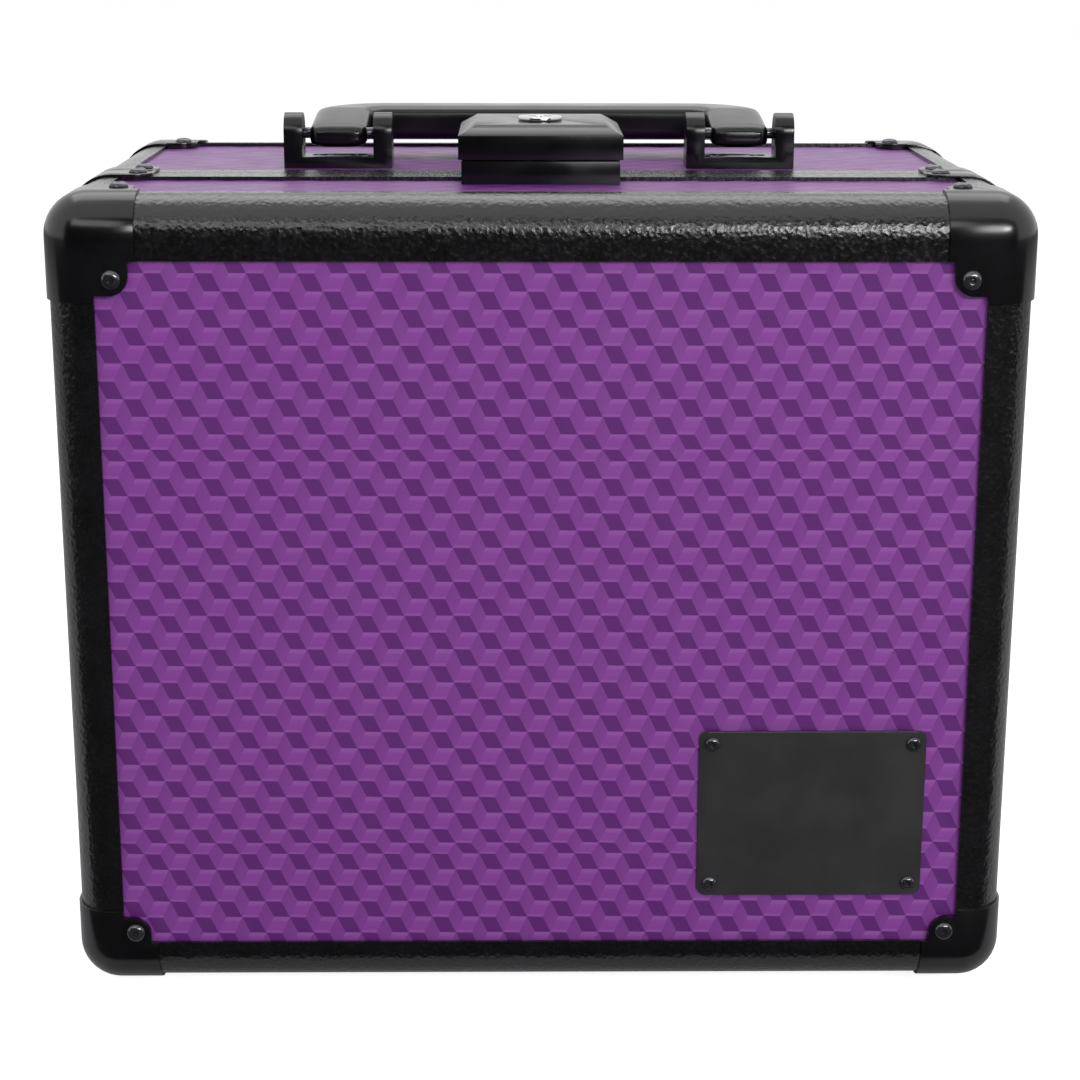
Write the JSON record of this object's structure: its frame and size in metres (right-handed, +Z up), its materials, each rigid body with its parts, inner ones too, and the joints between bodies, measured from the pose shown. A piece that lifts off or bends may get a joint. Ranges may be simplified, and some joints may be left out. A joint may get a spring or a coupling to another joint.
{
  "type": "card case",
  "caption": "Hard carrying case for graded cards: purple embossed boards in black rounded edges, corner caps, folding handle, hinged latch with key lock, foam card rows.",
  "frame": {"origin": "on the floor under the middle of the case, which stands on its hinge side", "axes": "+Z up, +X to the right seen from the front, lid front at -Y"},
  "size_m": [0.335, 0.208, 0.3085],
  "materials": {
    "purple_laminate": "embossed glossy laminate on board",
    "black_section": "black wrinkle powder coat",
    "black_cap": "smooth semi-gloss black",
    "dark_rivet": "dark glossy",
    "badge_grey": "satin dark grey, bare",
    "black_plastic": "moulded, satin",
    "steel": "plain",
    "lock_chrome": "polished",
    "foot_rubber": "matt",
    "foam": "charcoal foam"
  },
  "bodies": {
    "base": {"base_back_panel": "purple_laminate", "base_top_wall": "purple_laminate", "base_bottom_wall": "purple_laminate", "base_side_walls": "purple_laminate", "base_back_edges": "black_section", "base_depth_edges": "black_section", "base_seam_frame": "black_section", "base_corner_caps": "black_cap", "base_seam_brackets": "black_cap", "base_rivets": "dark_rivet", "handle_brackets": "black_plastic", "handle_pins": "steel", "bracket_screws": "steel", "latch_base": "black_plastic", "latch_pin": "steel", "latch_base_screws": "steel", "base_hinge_leaves": "steel", "base_hinge_rivets": "dark_rivet", "hinge_pins": "steel", "base_feet": "foot_rubber", "base_foot_screws": "steel", "foam_floor": "foam", "foam_end_walls": "foam", "foam_side_walls": "foam", "foam_dividers": "foam"},
    "lid": {"lid_front_panel": "purple_laminate", "lid_top_wall": "purple_laminate", "lid_bottom_wall": "purple_laminate", "lid_side_walls": "purple_laminate", "lid_front_edges": "black_section", "lid_depth_edges": "black_section", "lid_seam_frame": "black_section", "lid_corner_caps": "black_cap", "lid_seam_brackets": "black_cap", "lid_rivets": "dark_rivet", "badge_plate": "badge_grey", "badge_rivets": "dark_rivet", "latch_strike": "black_plastic", "strike_screws": "steel", "lid_hinge_leaves": "steel", "lid_hinge_rivets": "dark_rivet", "lid_feet": "foot_rubber", "lid_foot_screws": "steel", "lid_foam_pad": "foam"},
    "handle": {"handle": "black_plastic"},
    "latch_cover": {"latch_cover": "black_plastic", "lock_housing": "lock_chrome"},
    "lock_key": {"lock_barrel": "lock_chrome", "lock_cam": "steel", "cam_screw": "steel"}
  },
  "joints": [
    {"name": "lid_hinge", "type": "hinge", "parent": "base", "child": "lid", "pos_m": [0, -0.0275, 0.0042], "axis": [1, 0, 0], "range_deg": [0, 95]},
    {"name": "handle_hinge", "type": "hinge", "parent": "base", "child": "handle", "pos_m": [0, 0.0085, 0.2995], "axis": [1, 0, 0], "range_deg": [0, 95]},
    {"name": "latch_cover_hinge", "type": "hinge", "parent": "base", "child": "latch_cover", "pos_m": [0, -0.0025, 0.2914], "axis": [-1, 0, 0], "range_deg": [0, 55]},
    {"name": "key_turn", "type": "hinge", "parent": "latch_cover", "child": "lock_key", "pos_m": [0, -0.0245, 0.3072], "axis": [0, 0, -1], "range_deg": [0, 90]}
  ]
}
